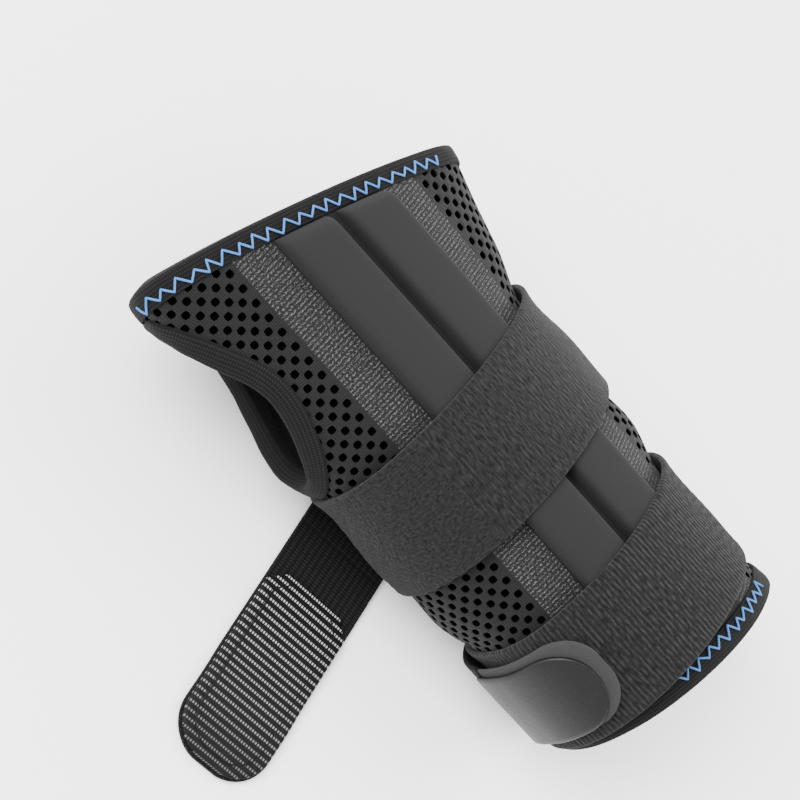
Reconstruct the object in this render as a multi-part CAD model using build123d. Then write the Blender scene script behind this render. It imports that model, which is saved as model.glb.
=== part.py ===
from build123d import *
from math import cos, degrees, pi, radians, sin, sqrt
import os

# Wrist splint, right hand, lying palm down and closed as if on an arm.
# X points to the little-finger side, Y to the fingers, Z up out of the back of the hand.
# The origin is on the table, under the wrist. Lengths are in millimetres.

# ---- Body tube: straight along its back, wider at the hand ----
top_line = 59.0            # height of the mesh tube's back above the table
palm_squareness = 2.5      # exponent of the flattened palmar half of each section
hem_half_width = 40.5      # half widths of the tube, from the elbow end to the fingers
forearm_half_width = 38.6
bulge_half_width = 42.5
wrist_half_width = 42.2
hand_half_width = 53.0
elbow_end = -94.3          # where the two cut edges cross the back's centre line
finger_end = 83.3
elbow_skew = 0.17          # how far each cut edge leans, per mm across and per mm down
elbow_rake = -0.06
finger_skew = 0.36
finger_rake = 0.22
run_out = 22.0             # how far the untrimmed tube passes its cut edges

# ---- Fabric layers ----
lining = 1.0               # brushed lining
spacer = 3.0               # spacer mesh over the lining
tape = 0.9                 # folded binding tape
fold = 1.0                 # binding beyond the fabric's raw edge
hand_tape_width = 6.5
elbow_tape_width = 7.5
thumb_tape_width = 7.0
opening_tape_width = 6.0

# ---- Thumb hole and lengthwise opening ----
thumb_y = 56.0
thumb_z = 29.5
thumb_half_length = 30.0
thumb_half_height = 14.0
thumb_tilt = 25.0          # the hole faces down by this angle
opening_x = 24.0
opening_gap = 8.0
opening_top = 26.0         # height that the opening's cut stays below

# ---- Stay pockets and stays ----
pocket_width = 16.0
pocket_gap = 3.2
pocket_height = 5.0
pocket_mouth = -82.0
stay_width = 12.0
stay_length = 140.0
stay_thickness = 1.5
stay_play = 0.5            # channel wider than the stay, each side
stay_rise = 0.25           # channel deeper than the stay, above and below
stay_lift = 3.0            # stay's middle above the mesh tube, clear of the stitching
stay_lean = 7.5            # the back rounds off sideways by this angle
stay_inset = 3.0           # stay's end behind the pocket's mouth
palmar_stay_width = 16.0
palmar_stay_length = 90.0
palmar_pocket_width = 20.0
palmar_pocket_x = -3.0
palmar_pocket_mouth = -80.0
palmar_wall = 0.8          # pocket cloth under the palmar stay

# ---- Loop bands and straps ----
band_width = 38.0
band_cloth = 2.0
wrist_band_y = -0.5
forearm_band_y = -65.0
band_end_x = -20.0         # palmar end of both bands on the thumb side
webbing = 1.4
strap_width = 31.0
strap_gap = 0.3            # strap clear of the band below it
forearm_flare = 1.4        # forearm strap's slack over the narrowest place
wrist_strap_y = -2.6
forearm_strap_y = -64.5
strap_root_x = -22.0       # hinge line of the loose wrist strap
strap_slant = 5.9          # the loose strap lies back by this angle
strap_pieces = (30.0, 28.0, 32.0)
hook_pad = 1.2
hook_pad_margin = 2.0
bend_gap = 0.3             # between two stretches of webbing that bend apart
peel_angle = -12.0         # where the forearm tab leaves the band, about the tube's centre
tab_tip_angle = 47.0
tab_lip = 3.5              # hook pad beyond the tab's smooth end
tab_cover = 1.5
tab_margin = 0.8

# ---- Stitching ----
thread = 0.8
zigzag_pitch = 4.5
zigzag_reach = 3.4
thread_gap = 0.35
bartack_length = 26.0

big = 400.0


# ---- Sections of the tube: place, half width, rise, drop and sideways shift ----
sections = [
    (elbow_end - run_out, hem_half_width + 0.6, 25.5, 26.8, 0.0),
    (elbow_end, hem_half_width, 25.5, 27.0, 0.0),
    (-82.0, forearm_half_width + 1.0, 25.5, 27.3, 0.0),
    (-70.0, forearm_half_width + 0.3, 25.5, 27.6, 0.0),
    (-58.0, forearm_half_width + 0.1, 25.5, 27.9, 0.0),
    (-47.0, forearm_half_width + 0.7, 25.5, 28.0, 0.0),
    (-33.0, bulge_half_width, 25.5, 28.0, 0.0),
    (-18.0, wrist_half_width, 25.5, 28.0, 0.0),
    (0.0, wrist_half_width, 25.2, 28.0, -0.2),
    (17.0, wrist_half_width + 0.8, 25.0, 28.0, -0.4),
    (30.0, 0.5 * (wrist_half_width + hand_half_width), 23.5, 27.0, -0.6),
    (45.0, hand_half_width - 1.8, 21.5, 25.0, 0.8),
    (62.0, hand_half_width, 20.0, 22.8, 2.0),
    (finger_end, hand_half_width, 19.0, 21.0, 2.5),
    (finger_end + run_out, hand_half_width - 1.5, 18.5, 20.0, 2.5),
]


def palm_point(half, drop, turn):
    """A point of the squarer lower half, turn = 0 at the thumb side, pi at the other."""
    power = 2 / palm_squareness
    across = -half * abs(cos(turn)) ** power * (1 if cos(turn) > 0 else -1)
    return across, -drop * abs(sin(turn)) ** power


def tube(grow, top=None, extra=0.0):
    """The solid inside the tube's outer face moved out by grow, and by top on the back."""
    top = grow if top is None else top
    faces = []
    for index, (place, half, rise, drop, shift) in enumerate(sections):
        if index == 0:
            place -= extra
        if index == len(sections) - 1:
            place += extra
        origin = Vector(shift, place, top_line - rise)
        points = []
        for k in range(24):
            turn = 2 * pi * k / 24
            if turn <= pi:
                across, up = (half + grow) * cos(turn), (rise + top) * sin(turn)
            else:
                across, up = palm_point(half + grow, drop + grow, turn - pi)
            points.append(origin + Vector(across, 0, up))
        faces.append(Face(Wire(Spline(points, periodic=True))))
    return loft(faces)


def slab(x0, x1, y0, y1, z0, z1):
    middle = ((x0 + x1) / 2, (y0 + y1) / 2, (z0 + z1) / 2)
    return Pos(*middle) * Box(x1 - x0, y1 - y0, z1 - z0)


def edge_plane(end, skew, rake, facing):
    normal = Vector(skew, 1, -rake).normalized() * facing
    return Plane(origin=(0, end, top_line), z_dir=normal)


def between_edges(hand_inset, elbow_inset):
    """Everything between the two slanted cut edges, moved in by the insets."""
    block = None
    for plane, inset in (
        (edge_plane(finger_end, finger_skew, finger_rake, 1), hand_inset),
        (edge_plane(elbow_end, elbow_skew, elbow_rake, -1), elbow_inset),
    ):
        half_space = plane.offset(-inset - big / 2) * Box(2 * big, 2 * big, big)
        block = half_space if block is None else block & half_space
    return block


def thumb_prism(grow):
    lean = radians(thumb_tilt)
    out = Vector(-cos(lean), 0, -sin(lean))
    origin = Vector(-hand_half_width + 2, thumb_y, thumb_z)
    plane = Plane(origin=origin, x_dir=(0, 1, 0), z_dir=out)
    outline = plane * Ellipse(thumb_half_length + grow, thumb_half_height + grow)
    return extrude(outline, amount=30) + extrude(outline, amount=-22)


def opening_slab(grow):
    half = opening_gap / 2 + grow
    return slab(opening_x - half, opening_x + half, -big / 2, big / 2, -20, opening_top)


# ---- The tube's layers ----
outer = tube(0)
lining_outer = tube(-spacer, extra=1)
cavity = tube(-spacer - lining, extra=2)
raw_edges = between_edges(fold, fold)
trimmed = (outer & raw_edges) - thumb_prism(fold) - opening_slab(fold)
mesh_body = trimmed - lining_outer
inner_lining = (lining_outer & raw_edges) - thumb_prism(fold) - opening_slab(fold) - cavity
wall = trimmed - cavity

# ---- Bindings: tape folded over every raw edge ----
tape_outer = tube(tape)
tape_inner = tube(-spacer - lining - tape, extra=1)
inside_tapes = between_edges(hand_tape_width, elbow_tape_width)
hems = (tape_outer & between_edges(0, 0)) - inside_tapes - opening_slab(0) - tape_inner
hand_side = slab(-big / 2, big / 2, 0, big, -50, 200)
distal_binding = (hems & hand_side) - wall
proximal_binding = (hems - hand_side) - wall
thumb_ring = (tape_outer & thumb_prism(thumb_tape_width)) - thumb_prism(0)
thumb_binding = (thumb_ring & inside_tapes) - tape_inner - wall
opening_bindings = []
for side in (-1, 1):
    near = opening_x + side * opening_gap / 2
    far = near + side * opening_tape_width
    strip = slab(min(near, far), max(near, far), -big / 2, big / 2, -20, opening_top)
    opening_bindings.append((tape_outer & strip & inside_tapes) - tape_inner - wall)

# ---- Stay pockets on the back, with a straight channel in each ----
pocket_top = tube(pocket_height)
pocket_x = (pocket_gap + pocket_width) / 2
pocket_area = between_edges(hand_tape_width + strap_gap, 0)
blocks = []
channels = []
pockets = []
stays = []
stay_z = top_line - 0.75 + stay_lift
stay_y = pocket_mouth + stay_inset + stay_length / 2
channel_length = stay_inset + stay_length + 2
for side in (-1, 1):
    x = side * pocket_x
    strip = slab(x - pocket_width / 2, x + pocket_width / 2, pocket_mouth, big, top_line - 12, big)
    block = pocket_top & (strip & pocket_area)
    lean = Pos(x, 0, stay_z) * Rot(0, side * stay_lean, 0)
    channel = lean * Pos(0, pocket_mouth + channel_length / 2 - 1, 0) * Box(
        stay_width + 2 * stay_play, channel_length + 4, stay_thickness + 2 * stay_rise
    )
    blocks.append(block)
    channels.append(channel)
    pockets.append(block - outer - channel)
    outline = Rot(0, 0, 90) * SlotOverall(stay_length, stay_width)
    stays.append(lean * Pos(0, stay_y, -stay_thickness / 2) * extrude(outline, amount=stay_thickness))

# ---- Palmar pocket and its stay ----
palmar_half = palmar_pocket_width / 2
palmar_end = palmar_pocket_mouth + 2 + palmar_stay_length + 4
palmar_strip = slab(
    palmar_pocket_x - palmar_half, palmar_pocket_x + palmar_half,
    palmar_pocket_mouth, palmar_end, webbing, webbing + 12,
)
palmar_floor = webbing + palmar_wall
palmar_channel_half = palmar_stay_width / 2 + stay_play
palmar_channel = slab(
    palmar_pocket_x - palmar_channel_half, palmar_pocket_x + palmar_channel_half,
    palmar_pocket_mouth - 1, palmar_end - 2,
    palmar_floor, palmar_floor + stay_thickness + 2 * stay_rise,
)
palmar_pocket = palmar_strip - outer - palmar_channel
palmar_outline = Rot(0, 0, 90) * SlotOverall(palmar_stay_length, palmar_stay_width)
palmar_stay_y = palmar_pocket_mouth + 2 + palmar_stay_length / 2
palmar_stay = Pos(palmar_pocket_x, palmar_stay_y, palmar_floor + stay_rise) * extrude(
    palmar_outline, amount=stay_thickness
)

# ---- Loop bands: over the pockets, ending beside the palmar pocket ----
band_outer = tube(band_cloth, pocket_height + band_cloth)
padded = outer + blocks[0] + blocks[1] + channels[0] + channels[1]
opening_far = opening_x + opening_gap / 2 + opening_tape_width
band_stop = slab(band_end_x, opening_far + strap_gap, -big / 2, big / 2, -20, 30)
bands = []
for middle in (wrist_band_y, forearm_band_y):
    area = slab(-big / 2, big / 2, middle - band_width / 2, middle + band_width / 2, -20, 200)
    bands.append((band_outer & (area - band_stop)) - padded - proximal_binding)


# ---- Straps: webbing bent along a row of points across the arm ----
def round_points(half, rise, drop, first, last, steps):
    """Points round the tube: angle 0 at the little finger, 90 at the palm, 180 at the thumb."""
    points = []
    for k in range(steps + 1):
        angle = radians(first + (last - first) * k / steps)
        if angle <= pi:
            across, down = palm_point(half, drop, pi - angle)
        else:
            across, down = half * cos(angle), -rise * sin(angle)
        points.append(Vector(across, 0, top_line - strap_rise + down))
    return points


def ribbon(points, thickness, width, middle):
    """Cloth of one thickness about the points, as wide as asked along the arm."""
    path = Spline(points)
    count = len(points)
    sides = []
    for sign in (-1, 1):
        row = []
        for k in range(count):
            tangent = path % (k / (count - 1))
            normal = Vector(-tangent.Z, 0, tangent.X).normalized()
            row.append(path @ (k / (count - 1)) + normal * (sign * thickness / 2))
        sides.append(Spline(row))
    ends = [Line(sides[0] @ k, sides[1] @ k) for k in (0, 1)]
    face = Face(Wire([sides[0], sides[1], *ends]))
    return Pos(0, middle + width / 2, 0) * extrude(face, amount=width, dir=(0, -1, 0))


strap_rise = 25.5          # the tube's rise where both straps lie
middle_z = top_line - strap_rise
anchor_angle = 15.0
wrist_half = wrist_half_width + band_cloth + strap_gap + webbing / 2 + 0.4
wrist_points = round_points(wrist_half, 0, middle_z - webbing / 2, anchor_angle, 90, 18)
strap_front = slab(
    strap_root_x - 5, 0, wrist_strap_y - strap_width / 2, wrist_strap_y + strap_width / 2, 0, webbing
)
strap_frame = Pos(strap_root_x, wrist_strap_y, 0) * Rot(0, 0, 180 + strap_slant)
beyond_hinge = strap_frame * slab(-bend_gap / 2, 30, -60, 60, -5, 8)
wrist_strap_anchor = ribbon(wrist_points, webbing, strap_width, wrist_strap_y) + strap_front
wrist_strap_anchor -= beyond_hinge

# ---- The loose wrist strap, three stretches lying on the table ----
wrist_strap = []
place = 0.0
half_strap = strap_width / 2
for index, length in enumerate(strap_pieces):
    piece = slab(place + bend_gap / 2, place + length - bend_gap / 2, -half_strap, half_strap, 0, webbing)
    if index == len(strap_pieces) - 1:
        corners = piece.edges().filter_by(Axis.Z).sort_by(Axis.X)[-2:]
        piece = fillet(corners, strap_width / 2 - 3)
    wrist_strap.append(strap_frame * piece)
    place += length
strap_reach = sum(strap_pieces)
pad_half = half_strap - hook_pad_margin
pad_joint = strap_pieces[0] + strap_pieces[1]
pad_near = slab(
    strap_pieces[0] + 1, pad_joint - bend_gap / 2, -pad_half, pad_half, webbing, webbing + hook_pad
)
pad_near = chamfer(pad_near.edges().filter_by(Axis.Z).sort_by(Axis.X)[:2], 5.0)
pad_far = slab(
    pad_joint + bend_gap / 2, strap_reach - hook_pad_margin, -pad_half, pad_half,
    webbing, webbing + hook_pad,
)
pad_far = fillet(pad_far.edges().filter_by(Axis.Z).sort_by(Axis.X)[-2:], pad_half - 3)
hook_pads = [strap_frame * pad_near, strap_frame * pad_far]

# ---- Forearm strap: round the palm side to the thumb side, then the tab that peels ----
clear = band_cloth + strap_gap
forearm_half = forearm_half_width + clear + forearm_flare
forearm_drop = middle_z - webbing / 2
forearm_points = round_points(
    forearm_half + webbing / 2, 0, forearm_drop, anchor_angle, 180 + peel_angle, 30
)
forearm_strap = ribbon(forearm_points, webbing, strap_width, forearm_strap_y)
hinge_z = forearm_points[-1].Z
forearm_strap -= slab(-big / 2, 0, -big / 2, big / 2, hinge_z - bend_gap / 2, big)
forearm_strap = forearm_strap.solids().sort_by(SortBy.VOLUME)[-1]
palmar_pocket = palmar_pocket - forearm_strap - wrist_strap_anchor
back_rise = strap_rise + pocket_height + clear


def tab_layer(inner, thickness, width, tip_angle):
    middle = inner + thickness / 2
    points = round_points(
        forearm_half + middle, back_rise + middle, forearm_drop, 180 + peel_angle, 180 + tip_angle, 14
    )
    layer = ribbon(points, thickness, width, forearm_strap_y)
    layer -= slab(-big / 2, 0, -big / 2, big / 2, -big, hinge_z + bend_gap / 2)
    return layer


def round_tip(layer, radius):
    """Rounds the two corners of the tab's free end, square to the face there."""
    tip = max(layer.vertices(), key=lambda v: v.Z)
    lean = radians(tab_tip_angle - 8)
    out = Vector(-cos(lean), 0, sin(lean))
    origin = Vector(tip.X, forearm_strap_y, tip.Z)
    plane = Plane(origin=origin, x_dir=(0, 1, 0), z_dir=out)
    outline = Pos(0, strap_width) * RectangleRounded(
        strap_width - 2 * tab_margin, 2 * strap_width, radius
    )
    return layer & extrude(plane * outline, amount=strap_width, both=True)


lip_angle = degrees(tab_lip / back_rise)
forearm_pad = tab_layer(0, hook_pad, strap_width - 2 * tab_margin, tab_tip_angle)
forearm_tab = tab_layer(hook_pad, tab_cover, strap_width - 2 * tab_margin, tab_tip_angle - lip_angle)
tip_corner = strap_width / 2 - tab_margin - 3
forearm_pad = round_tip(forearm_pad, tip_corner)
forearm_tab = round_tip(forearm_tab, tip_corner)


# ---- Stitching: bars of thread standing on the cloth ----
def thread_bar(start, finish, up):
    along = finish - start
    middle = (start + finish) * 0.5 + up * (thread_gap + thread / 2)
    bar_plane = Plane(origin=middle, x_dir=along.normalized(), z_dir=up)
    return bar_plane * Box(along.length - thread_gap, thread, thread)


def back_point(x, half, rise, shift, end, skew, rake, inset):
    """A point on the binding's face, and the way out of it, at a distance from the cut edge."""
    run = (x - shift) / (half + tape)
    height = (rise + tape) * sqrt(1 - run * run)
    z = top_line - rise + height
    y = end - skew * x - rake * (top_line - z) - inset
    out = Vector(run / (half + tape), 0, height / (rise + tape) ** 2).normalized()
    return Vector(x, y, z), out


def zigzag(first_x, last_x, half, rise, shift, end, skew, rake, near, reach):
    bars = []
    count = round((last_x - first_x) / (zigzag_pitch / 2))
    corners = []
    for k in range(count + 1):
        x = first_x + k * zigzag_pitch / 2
        inset = near + (reach if k % 2 else 0)
        corners.append(back_point(x, half, rise, shift, end, skew, rake, inset))
    for (start, out), (finish, _) in zip(corners, corners[1:]):
        bars.append(thread_bar(start, finish, out))
    return bars


hand_row = sections[-2]
hand_zigzag = zigzag(
    -38, 34, hand_row[1], hand_row[2], hand_row[4], finger_end, finger_skew, finger_rake,
    hand_tape_width - zigzag_reach - 0.8, zigzag_reach,
)
elbow_row = sections[1]
elbow_zigzag = zigzag(
    -15, 30, elbow_row[1], elbow_row[2], elbow_row[4], elbow_end, elbow_skew, elbow_rake,
    zigzag_reach + 0.8 - elbow_tape_width, -zigzag_reach,
)

bartacks = []
for points, middle in ((wrist_points, wrist_strap_y), (forearm_points, forearm_strap_y)):
    for k in (1, 2):
        along = (points[k + 1] - points[k - 1]).normalized()
        out = Vector(along.Z, 0, -along.X)
        out = out if out.X > 0 else out * -1
        centre = points[k] + out * (webbing / 2 + thread_gap + thread / 2) + Vector(0, middle, 0)
        tack_plane = Plane(origin=centre, x_dir=(0, 1, 0), z_dir=out)
        bartacks.append(tack_plane * Box(bartack_length, 1.4, thread))

# ---- One file for each piece ----
pieces = {
    "mesh_body": mesh_body,
    "inner_lining": inner_lining,
    "distal_binding": distal_binding,
    "proximal_binding": proximal_binding,
    "thumb_hole_binding": thumb_binding,
    "opening_binding_radial": opening_bindings[0],
    "opening_binding_ulnar": opening_bindings[1],
    "stay_pocket_radial": pockets[0],
    "stay_pocket_ulnar": pockets[1],
    "stay_pocket_palmar": palmar_pocket,
    "stay_radial": stays[0],
    "stay_ulnar": stays[1],
    "stay_palmar": palmar_stay,
    "wrist_loop_band": bands[0],
    "forearm_loop_band": bands[1],
    "wrist_strap_anchor": wrist_strap_anchor,
    "wrist_strap_root": wrist_strap[0],
    "wrist_strap_middle": wrist_strap[1],
    "wrist_strap_end": wrist_strap[2],
    "wrist_hook_pad_middle": hook_pads[0],
    "wrist_hook_pad_end": hook_pads[1],
    "forearm_strap": forearm_strap,
    "forearm_hook_pad": forearm_pad,
    "forearm_tab": forearm_tab,
    "distal_zigzag": Compound(hand_zigzag),
    "proximal_zigzag": Compound(elbow_zigzag),
    "strap_bartacks": Compound(bartacks),
}
os.makedirs("parts", exist_ok=True)
for name, piece in pieces.items():
    export_step(piece, f"parts/{name}.step")
    box = piece.bounding_box()
    print(name, len(piece.solids()), round(piece.volume, 1), "mm3", tuple(round(v, 1) for v in box.size))
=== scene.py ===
# %% [markdown]
# # A wrist splint in cloth
# The imported CAD model holds the sizes, the joints and the three aluminium stays.
# Everything else on a wrist splint is cloth, so this file makes that cloth: a tube of spacer
# mesh with real holes, taped edges, stay pockets, loop bands, straps and stitching.
# The frame comes first, because each piece is placed by it and most ride on one of its bodies.

# %% Load the frame
import bpy
import math
import numpy as np
from mathutils import Matrix, Vector


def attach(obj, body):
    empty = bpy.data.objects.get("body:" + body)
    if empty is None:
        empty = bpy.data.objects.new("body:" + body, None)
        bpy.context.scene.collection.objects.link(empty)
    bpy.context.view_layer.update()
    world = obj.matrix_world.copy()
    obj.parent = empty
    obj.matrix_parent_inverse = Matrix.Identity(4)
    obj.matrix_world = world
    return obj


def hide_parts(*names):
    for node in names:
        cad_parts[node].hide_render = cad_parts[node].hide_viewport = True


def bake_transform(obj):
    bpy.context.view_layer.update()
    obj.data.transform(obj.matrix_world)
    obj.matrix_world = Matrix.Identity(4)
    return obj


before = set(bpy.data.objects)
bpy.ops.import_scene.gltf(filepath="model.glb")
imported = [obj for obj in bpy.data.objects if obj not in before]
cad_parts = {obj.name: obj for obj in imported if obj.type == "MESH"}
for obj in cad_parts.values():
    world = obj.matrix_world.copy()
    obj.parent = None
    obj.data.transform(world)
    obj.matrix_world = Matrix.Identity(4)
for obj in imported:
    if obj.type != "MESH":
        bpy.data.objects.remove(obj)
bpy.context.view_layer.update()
bpy.ops.object.select_all(action="DESELECT")

# %% [markdown]
# ## The shape of the tube
# The tube has the sections that the CAD model has: half an ellipse on the back of the hand and
# a squarer half at the palm. Each row gives a place along the arm, the half width, the rise,
# the drop and a sideways shift, in millimetres. Between rows the values follow a smooth curve.

# %% Sections along the arm
MM = 0.001
TOP = 59.0
SQUARENESS = 2.5
ROWS = np.array([
    (-117, 41.1, 25.5, 26.8, 0.0), (-94, 40.5, 25.5, 27.0, 0.0), (-82, 39.6, 25.5, 27.3, 0.0),
    (-70, 38.9, 25.5, 27.6, 0.0), (-58, 38.7, 25.5, 27.9, 0.0), (-47, 39.3, 25.5, 28.0, 0.0),
    (-33, 42.5, 25.5, 28.0, 0.0), (-18, 42.2, 25.5, 28.0, 0.0), (0, 42.2, 25.2, 28.0, -0.2),
    (17, 43.0, 25.0, 28.0, -0.4), (30, 47.6, 23.5, 27.0, -0.6), (45, 51.2, 21.5, 25.0, 0.8),
    (62, 53.0, 20.0, 22.8, 2.0), (83, 53.0, 19.0, 21.0, 2.5), (106, 51.5, 18.5, 20.0, 2.5),
])
SLOPES = np.gradient(ROWS[:, 1:], ROWS[:, 0], axis=0)


def row_at(place):
    """Half width, rise, drop and shift at one place along the arm."""
    k = int(np.clip(np.searchsorted(ROWS[:, 0], place) - 1, 0, len(ROWS) - 2))
    span = ROWS[k + 1, 0] - ROWS[k, 0]
    t = (place - ROWS[k, 0]) / span
    near, far = ROWS[k, 1:], ROWS[k + 1, 1:]
    near_pull, far_pull = SLOPES[k] * span, SLOPES[k + 1] * span
    return (
        near * (1 + 2 * t) * (1 - t) ** 2 + near_pull * t * (1 - t) ** 2
        + far * t * t * (3 - 2 * t) - far_pull * t * t * (1 - t)
    )


# %% [markdown]
# A piece of cloth is cut flat, so it is easiest to lay out in flat measures: how far along the
# arm, and how far round the tube from the middle of the back. The table below turns those two
# into a point on the tube and the direction out of it, one entry for each millimetre.

# %% A table from flat measures to the tube
PLACES = np.arange(-112, 106.5, 1.0)
ROUND = np.arange(-165, 130.5, 1.0)


def walk_round(place):
    """Points and outward directions at every step of ROUND, negative towards the thumb."""
    half, rise, drop, shift = row_at(place)
    turn = np.linspace(0, 2 * np.pi, 1441)
    power = 2 / SQUARENESS
    c, s = np.sin(turn), np.cos(turn)
    back = s >= 0
    x = np.where(back, half * c, half * np.sign(c) * np.abs(c) ** power) + shift
    z = TOP - rise + np.where(back, rise * s, -drop * np.abs(s) ** power)
    run = np.concatenate([[0], np.cumsum(np.hypot(np.diff(x), np.diff(z)))])
    whole = run[-1]
    at = (ROUND - shift) % whole
    px, pz = np.interp(at, run, x), np.interp(at, run, z)
    bx, bz = np.interp((at - 1.5) % whole, run, x), np.interp((at - 1.5) % whole, run, z)
    ax, az = np.interp((at + 1.5) % whole, run, x), np.interp((at + 1.5) % whole, run, z)
    dx, dz = ax - bx, az - bz
    size = np.hypot(dx, dz)
    return np.stack([px, pz, -dz / size, dx / size], axis=1)


TABLE = np.stack([walk_round(place) for place in PLACES])


def look_up(place, around):
    place, around = np.broadcast_arrays(np.asarray(place, float), np.asarray(around, float))
    a = np.clip(place - PLACES[0], 0, len(PLACES) - 1.001)
    b = np.clip(around - ROUND[0], 0, len(ROUND) - 1.001)
    i, j = a.astype(int), b.astype(int)
    u, v = (a - i)[..., None], (b - j)[..., None]
    near = TABLE[i, j] * (1 - v) + TABLE[i, j + 1] * v
    far = TABLE[i + 1, j] * (1 - v) + TABLE[i + 1, j + 1] * v
    return near * (1 - u) + far * u


def slack(place, around):
    """Cloth is never quite true: a slow swell at the sides, none on the back or the palm."""
    side = np.clip((np.abs(around) - 26) / 12, 0, 1) * np.clip((78 - np.abs(around)) / 12, 0, 1)
    swell = np.sin(place * 0.19 + around * 0.05) + np.sin(place * 0.083 - around * 0.11 + 2)
    return 0.45 * side * swell


def on_tube(place, around, out):
    """Points in metres, at a distance out of the tube in millimetres."""
    spot = look_up(place, around)
    out = out + slack(place, around)
    place, out = np.broadcast_to(place, spot.shape[:-1]), np.broadcast_to(out, spot.shape[:-1])
    x = spot[..., 0] + spot[..., 2] * out
    z = spot[..., 1] + spot[..., 3] * out
    return np.stack([x, place, z], axis=-1) * MM


print("tube:", len(PLACES), "places,", len(ROUND), "steps round")

# %% [markdown]
# ## Where the cloth is cut
# Two slanted cuts end the tube, an ellipse makes the thumb hole, and a lengthwise slit runs
# along the palm. Each is found in flat measures, since that is how the cloth is laid out.

# %% The cuts in flat measures
FINGER_END, FINGER_SKEW, FINGER_RAKE = 83.3, 0.36, 0.22
ELBOW_END, ELBOW_SKEW, ELBOW_RAKE = -94.3, 0.17, -0.06
THUMB_Y, THUMB_LONG, THUMB_HIGH = 56.0, 30.0, 14.0
LEAN = math.radians(25)
SLIT_THUMB_SIDE, SLIT_FAR_SIDE = 20.0, 28.0


def cut_place(around, finger):
    """The place along the arm where an end cut crosses each step round the tube."""
    end, skew, rake = (
        (FINGER_END, FINGER_SKEW, FINGER_RAKE) if finger else (ELBOW_END, ELBOW_SKEW, ELBOW_RAKE)
    )
    place = np.full(np.shape(around), end)
    for _ in range(12):
        spot = look_up(place, around)
        place = end - skew * spot[..., 0] - rake * (TOP - spot[..., 1])
    return place


def thumb_measure(place, around):
    """Along and up the thumb hole's own plane, from its middle."""
    spot = look_up(place, around)
    up = -math.sin(LEAN) * (spot[..., 0] + 51) + math.cos(LEAN) * (spot[..., 1] - 29.5)
    return np.asarray(place) - THUMB_Y, up


def slit_around(place, thumb_side):
    """How far round the tube one edge of the slit lies, for each place."""
    steps = np.linspace(-160, -80, 161) if thumb_side else np.linspace(60, 125, 131)
    edge_x = SLIT_THUMB_SIDE if thumb_side else SLIT_FAR_SIDE
    return np.array([
        np.interp(-edge_x, -look_up(one, steps)[..., 0], steps) for one in np.atleast_1d(place)
    ])


def thumb_ring(grow, count=120):
    """Places and steps round the tube along the thumb hole's edge."""
    ring = []
    for turn in np.linspace(0, 2 * np.pi, count, endpoint=False):
        place = THUMB_Y + (THUMB_LONG + grow) * math.cos(turn)
        steps = np.linspace(-118, -34, 337)
        up = thumb_measure(place, steps)[1]
        low, high = int(np.argmin(up)), int(np.argmax(up))
        wanted = (THUMB_HIGH + grow) * math.sin(turn)
        ring.append((place, np.interp(wanted, up[low:high + 1], steps[low:high + 1])))
    return np.array(ring)


SLIT_THUMB = np.stack([PLACES, slit_around(PLACES, True)])
SLIT_FAR = np.stack([PLACES, slit_around(PLACES, False)])
RING = thumb_ring(0.0)


def in_thumb_hole(place, around, margin):
    """True inside the thumb hole's edge, or nearer to it than the margin."""
    inside = np.zeros(np.shape(place), dtype=bool)
    near = np.full(np.shape(place), 1e6)
    for (p0, a0), (p1, a1) in zip(RING, np.roll(RING, -1, axis=0)):
        spans = (p0 > place) != (p1 > place)
        crossing = a0 + (place - p0) * (a1 - a0) / (p1 - p0 if p1 != p0 else 1e-9)
        inside ^= spans & (around < crossing)
        near = np.minimum(near, np.hypot(place - p0, around - a0))
    return inside | (near < margin)


def fabric(place, around, margin):
    """True where there is cloth, at least a margin inside every cut."""
    place, around = np.broadcast_arrays(place, around)
    return (
        (place < cut_place(around, True) - margin) & (place > cut_place(around, False) + margin)
        & (around > np.interp(place, *SLIT_THUMB) + margin)
        & (around < np.interp(place, *SLIT_FAR) - margin)
        & ~in_thumb_hole(place, around, margin)
    )


print("slit at the wrist:", slit_around(0, True).round(1), slit_around(0, False).round(1))

# %% [markdown]
# ## Turning measures into meshes
# Every piece of cloth here is either a patch on a grid, with a front, a back and a rim, or one
# cross-section carried along a path. Both keep their flat measures as a UV map in centimetres,
# so a knit pattern follows the cloth and not the room.

# %% Mesh helpers
def new_piece(name, points, faces, flat=None):
    mesh = bpy.data.meshes.new(name)
    mesh.from_pydata(np.asarray(points).reshape(-1, 3).tolist(), [], faces)
    if flat is not None:
        layer = mesh.uv_layers.new(name="flat")
        index = np.empty(len(mesh.loops), dtype=int)
        mesh.loops.foreach_get("vertex_index", index)
        layer.data.foreach_set("uv", (np.asarray(flat).reshape(-1, 2)[index] / 10).ravel())
    mesh.polygons.foreach_set("use_smooth", [True] * len(mesh.polygons))
    mesh.validate()
    piece = bpy.data.objects.new(name, mesh)
    bpy.context.collection.objects.link(piece)
    return piece


def patch_faces(valid):
    """Faces for a front and a back grid of the same size, with a rim round every gap."""
    rows, cols = valid.shape
    wide = cols + 1
    back = (rows + 1) * wide
    faces = []

    def at(i, j):
        return i * wide + j

    for i, j in zip(*np.nonzero(valid)):
        a, b, c, d = at(i, j), at(i, j + 1), at(i + 1, j + 1), at(i + 1, j)
        faces.append((a, b, c, d))
        faces.append((back + d, back + c, back + b, back + a))
        if i == 0 or not valid[i - 1, j]:
            faces.append((b, a, back + a, back + b))
        if i == rows - 1 or not valid[i + 1, j]:
            faces.append((d, c, back + c, back + d))
        if j == 0 or not valid[i, j - 1]:
            faces.append((a, d, back + d, back + a))
        if j == cols - 1 or not valid[i, j + 1]:
            faces.append((c, b, back + b, back + c))
    return faces


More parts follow.
